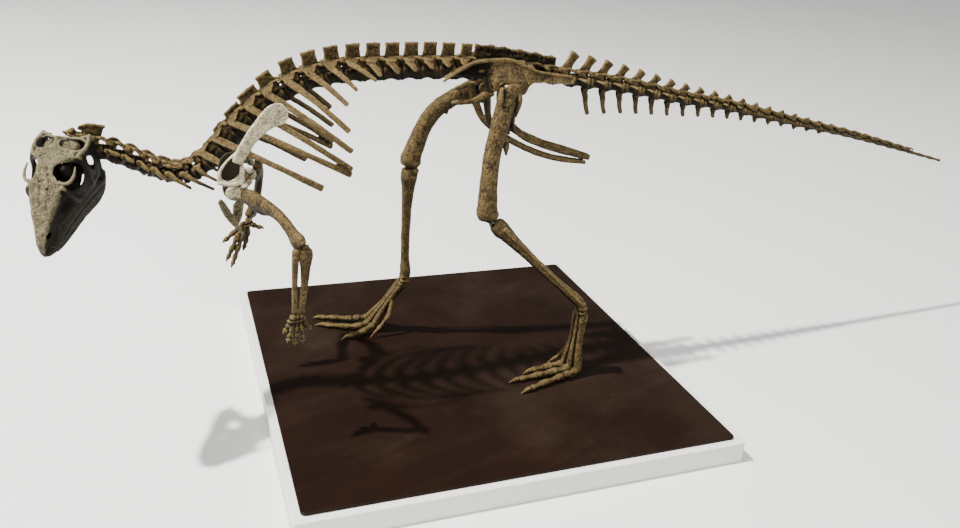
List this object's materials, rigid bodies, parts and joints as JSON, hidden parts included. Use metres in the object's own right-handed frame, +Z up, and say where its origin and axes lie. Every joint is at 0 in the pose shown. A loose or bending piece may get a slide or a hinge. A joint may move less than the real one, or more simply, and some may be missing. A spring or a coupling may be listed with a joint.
{
  "type": "mounted ornithopod dinosaur skeleton on a square display board",
  "caption": "Life-size mounted skeleton of a small walking plant-eating dinosaur, head turned aside and tail held out level, standing on a square white board with a dark top sheet.",
  "frame": {"origin": "middle of the board's underside, on the floor", "axes": "+X towards the tail along the long way of the animal, which walks towards -X; +Y towards the animal's right side; +Z up"},
  "size_m": [1.4903, 0.621, 0.5215],
  "materials": {
    "bone": "dark olive-brown cast bone, pitted, with tan high spots and near-black crevices",
    "pale_bone": "grey-khaki cast bone, granular",
    "board_paint": "white satin paint on a wooden box board",
    "dark_sheet": "very dark brown semi-gloss sheet with dust and wipe marks"
  },
  "bodies": {
    "root": {"base_board": "board_paint", "base_sheet": "dark_sheet", "brow_rod_left": "pale_bone", "brow_rod_right": "pale_bone", "chest_plate_left": "pale_bone", "chest_plate_right": "pale_bone", "coracoid_left": "pale_bone", "coracoid_right": "pale_bone", "femur_left": "bone", "femur_right": "bone", "fibula_left": "bone", "fibula_right": "bone", "foot_left": "bone", "foot_right": "bone", "hand_left": "bone", "hand_right": "bone", "humerus_left": "bone", "humerus_right": "bone", "ilium_left": "bone", "ilium_right": "bone", "ischium_left": "bone", "ischium_right": "bone", "jaw_beak": "pale_bone", "jaw_left": "pale_bone", "jaw_right": "pale_bone", "loin": "bone", "neck_front": "bone", "neck_rear": "bone", "pubis_left": "bone", "pubis_right": "bone", "radius_left": "bone", "radius_right": "bone", "rib_cage_left": "bone", "rib_cage_right": "bone", "sacrum": "bone", "scapula_left": "pale_bone", "scapula_right": "pale_bone", "skull": "pale_bone", "tail_1": "bone", "tail_2": "bone", "tail_3": "bone", "tail_4": "bone", "tibia_left": "bone", "tibia_right": "bone", "toe_left_1": "bone", "toe_left_2": "bone", "toe_left_3": "bone", "toe_left_4": "bone", "toe_right_1": "bone", "toe_right_2": "bone", "toe_right_3": "bone", "toe_right_4": "bone", "ulna_left": "bone", "ulna_right": "bone"}
  },
  "joints": []
}
